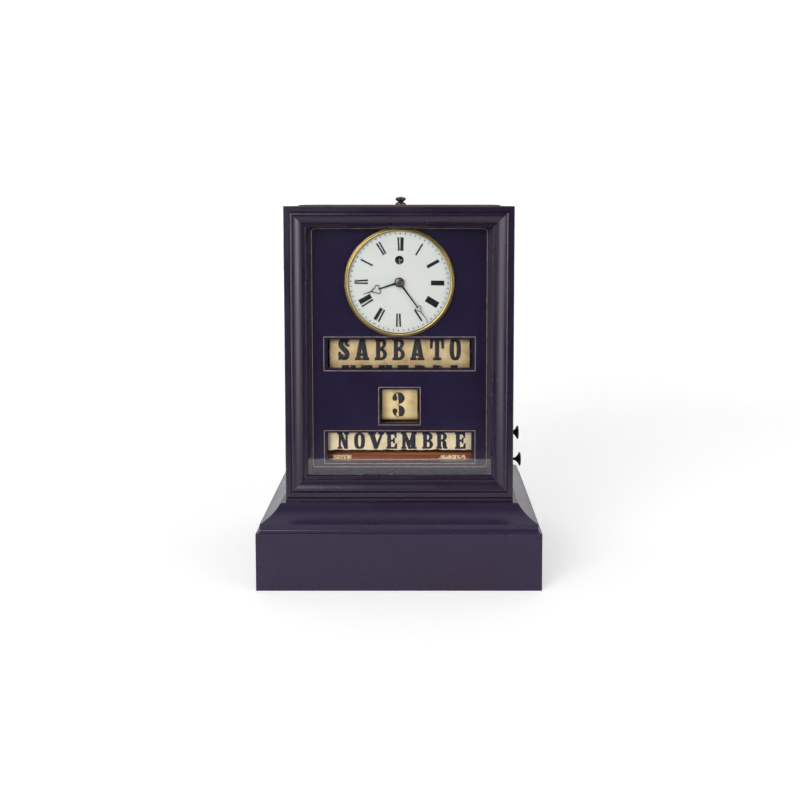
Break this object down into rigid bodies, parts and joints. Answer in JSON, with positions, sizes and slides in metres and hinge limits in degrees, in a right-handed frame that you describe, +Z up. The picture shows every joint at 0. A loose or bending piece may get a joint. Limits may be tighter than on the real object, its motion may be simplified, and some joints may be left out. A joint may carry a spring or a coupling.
{
  "type": "calendar clock",
  "caption": "Table clock in a glazed ebonised case on a moulded plinth, with a round enamel dial above windows for day, date and month rollers.",
  "frame": {"origin": "middle of the base's underside, on the surface the clock stands on", "axes": "+X to the right seen from the front, +Y to the back, +Z up; the glazed door faces -Y"},
  "size_m": [0.236, 0.202, 0.3248],
  "materials": {
    "ebonised_wood": "polished, ebonised",
    "panel_lacquer": "gloss lacquer",
    "lid_wood": "polished",
    "back_wood": "satin",
    "turned_ebony": "polished",
    "roller_wood": "satin",
    "glass": "clear",
    "brass": "satin",
    "gilt_brass": "polished",
    "polished_steel": "polished",
    "blued_steel": "blued",
    "enamel": "gloss",
    "linen": "aged"
  },
  "bodies": {
    "case": {"plinth": "ebonised_wood", "base_moulding": "ebonised_wood", "case_floor": "ebonised_wood", "case_left_side": "ebonised_wood", "case_right_side": "ebonised_wood", "case_top": "ebonised_wood", "dial_panel": "panel_lacquer", "case_hinge_leaves": "brass", "hinge_pins": "polished_steel", "dial_plate": "brass", "enamel_dial": "enamel", "dial_bezel": "gilt_brass", "front_plate": "brass", "back_plate": "brass", "plate_pillars": "brass", "escapement_cock": "brass", "calendar_cheeks": "roller_wood", "detent_springs": "blued_steel", "date_guides": "roller_wood", "date_band": "linen", "month_band": "linen"},
    "lid": {"lid": "lid_wood", "lid_knob": "turned_ebony"},
    "back_door": {"back_door": "back_wood", "back_door_knob": "brass", "back_hinge_leaves": "brass"},
    "front_door": {"door_frame": "ebonised_wood", "door_glass": "glass", "glazing_beads": "ebonised_wood", "door_catch": "brass", "door_hinge_leaves": "brass"},
    "minute_hand": {"minute_hand": "blued_steel", "cannon_pinion": "polished_steel"},
    "hour_hand": {"hour_hand": "blued_steel", "hour_wheel": "brass"},
    "minute_wheel": {"minute_wheel": "brass"},
    "calendar_wheel": {"calendar_wheel": "brass"},
    "winding_arbor": {"winding_arbor": "polished_steel", "winding_ratchet": "polished_steel"},
    "winding_click": {"winding_click": "polished_steel"},
    "barrel": {"barrel": "brass", "mainspring": "blued_steel"},
    "intermediate_wheel": {"intermediate_wheel": "brass"},
    "centre_wheel": {"centre_wheel": "brass"},
    "third_wheel": {"third_wheel": "brass"},
    "escape_wheel": {"escape_wheel": "brass"},
    "pendulum": {"pallets": "polished_steel", "pendulum_rod": "polished_steel", "pendulum_bob": "gilt_brass", "rating_nut": "brass"},
    "day_roller": {"day_drum": "roller_wood", "day_arbor": "polished_steel"},
    "upper_date_spool": {"upper_date_spool": "roller_wood"},
    "lower_date_spool": {"lower_date_spool": "roller_wood"},
    "upper_month_spool": {"upper_month_spool": "roller_wood", "upper_month_knob": "turned_ebony"},
    "lower_month_spool": {"lower_month_spool": "roller_wood", "lower_month_knob": "turned_ebony"},
    "trip_lever": {"trip_lever": "polished_steel"},
    "drive_rod": {"drive_rod": "polished_steel"}
  },
  "joints": [
    {"name": "front_door_swing", "type": "hinge", "parent": "case", "child": "front_door", "pos_m": [-0.0966, -0.0623, 0.19], "axis": [0, 0, -1], "range_deg": [0, 110]},
    {"name": "back_door_swing", "type": "hinge", "parent": "case", "child": "back_door", "pos_m": [-0.0875, 0.0796, 0.19], "axis": [0, 0, 1], "range_deg": [0, 110]},
    {"name": "lid_lift", "type": "slide", "parent": "case", "child": "lid", "axis": [0, 0, 1], "range_m": [0, 0.08]},
    {"name": "minute_hand_turn", "type": "hinge", "parent": "case", "child": "minute_hand", "pos_m": [0, -0.06, 0.2526], "axis": [0, 1, 0], "continuous": true},
    {"name": "hour_hand_turn", "type": "hinge", "parent": "case", "child": "hour_hand", "pos_m": [0, -0.06, 0.2526], "axis": [0, 1, 0], "continuous": true},
    {"name": "minute_wheel_turn", "type": "hinge", "parent": "case", "child": "minute_wheel", "pos_m": [-0.01128, -0.06, 0.2485], "axis": [0, 1, 0], "continuous": true},
    {"name": "calendar_wheel_turn", "type": "hinge", "parent": "case", "child": "calendar_wheel", "pos_m": [0.01379, -0.06, 0.24103], "axis": [0, 1, 0], "continuous": true},
    {"name": "winding_turn", "type": "hinge", "parent": "case", "child": "winding_arbor", "pos_m": [0, -0.06, 0.2713], "axis": [0, 1, 0], "continuous": true},
    {"name": "click_rock", "type": "hinge", "parent": "case", "child": "winding_click", "pos_m": [0.0092, -0.06, 0.2765], "axis": [0, 1, 0], "range_deg": [-12, 0], "stiffness_Nm_per_rad": 0.001, "springref_deg": 5.73},
    {"name": "third_wheel_turn", "type": "hinge", "parent": "case", "child": "third_wheel", "pos_m": [0.00851, -0.06, 0.24143], "axis": [0, 1, 0], "continuous": true},
    {"name": "escape_wheel_turn", "type": "hinge", "parent": "case", "child": "escape_wheel", "pos_m": [0, -0.06, 0.2316], "axis": [0, 1, 0], "continuous": true},
    {"name": "centre_wheel_turn", "type": "hinge", "parent": "case", "child": "centre_wheel", "pos_m": [0, -0.06, 0.2526], "axis": [0, 1, 0], "continuous": true},
    {"name": "intermediate_wheel_turn", "type": "hinge", "parent": "case", "child": "intermediate_wheel", "pos_m": [0.01314, -0.06, 0.26008], "axis": [0, 1, 0], "continuous": true},
    {"name": "barrel_turn", "type": "hinge", "parent": "case", "child": "barrel", "pos_m": [0, -0.06, 0.2713], "axis": [0, 1, 0], "continuous": true},
    {"name": "pendulum_swing", "type": "hinge", "parent": "case", "child": "pendulum", "pos_m": [0, 0, 0.24168], "axis": [0, 1, 0], "range_deg": [-3, 3]},
    {"name": "day_roller_turn", "type": "hinge", "parent": "case", "child": "day_roller", "pos_m": [0, -0.0303, 0.1904], "axis": [1, 0, 0], "continuous": true, "deforming": ["detent_springs"]},
    {"name": "date_take_up", "type": "hinge", "parent": "case", "child": "upper_date_spool", "pos_m": [0, -0.022, 0.1508], "axis": [1, 0, 0], "continuous": true, "deforming": ["detent_springs"]},
    {"name": "date_pay_out", "type": "hinge", "parent": "case", "child": "lower_date_spool", "pos_m": [0, -0.022, 0.1248], "axis": [1, 0, 0], "continuous": true},
    {"name": "upper_month_turn", "type": "hinge", "parent": "case", "child": "upper_month_spool", "pos_m": [0, -0.0448, 0.1204], "axis": [1, 0, 0], "continuous": true},
    {"name": "lower_month_turn", "type": "hinge", "parent": "case", "child": "lower_month_spool", "pos_m": [0, -0.0448, 0.0969], "axis": [1, 0, 0], "continuous": true},
    {"name": "trip_lever_rock", "type": "hinge", "parent": "case", "child": "trip_lever", "pos_m": [0.031, -0.056, 0.2466], "axis": [0, -1, 0], "range_deg": [0, 6]},
    {"name": "drive_rod_lift", "type": "slide", "parent": "case", "child": "drive_rod", "axis": [0, 0, 1], "range_m": [0, 0.0048]}
  ],
  "couplings": [
    {"joint": "hour_hand_turn", "follows": "minute_hand_turn", "ratio": 0.083333},
    {"joint": "minute_wheel_turn", "follows": "minute_hand_turn", "ratio": -0.33333},
    {"joint": "calendar_wheel_turn", "follows": "minute_hand_turn", "ratio": -0.041667},
    {"joint": "escape_wheel_turn", "follows": "third_wheel_turn", "ratio": -12},
    {"joint": "centre_wheel_turn", "follows": "third_wheel_turn", "ratio": -0.083333},
    {"joint": "intermediate_wheel_turn", "follows": "third_wheel_turn", "ratio": 0.013889},
    {"joint": "barrel_turn", "follows": "third_wheel_turn", "ratio": -0.0019841},
    {"joint": "date_pay_out", "follows": "date_take_up", "ratio": -1},
    {"joint": "drive_rod_lift", "follows": "trip_lever_rock", "m_per_rad": 0.045}
  ]
}
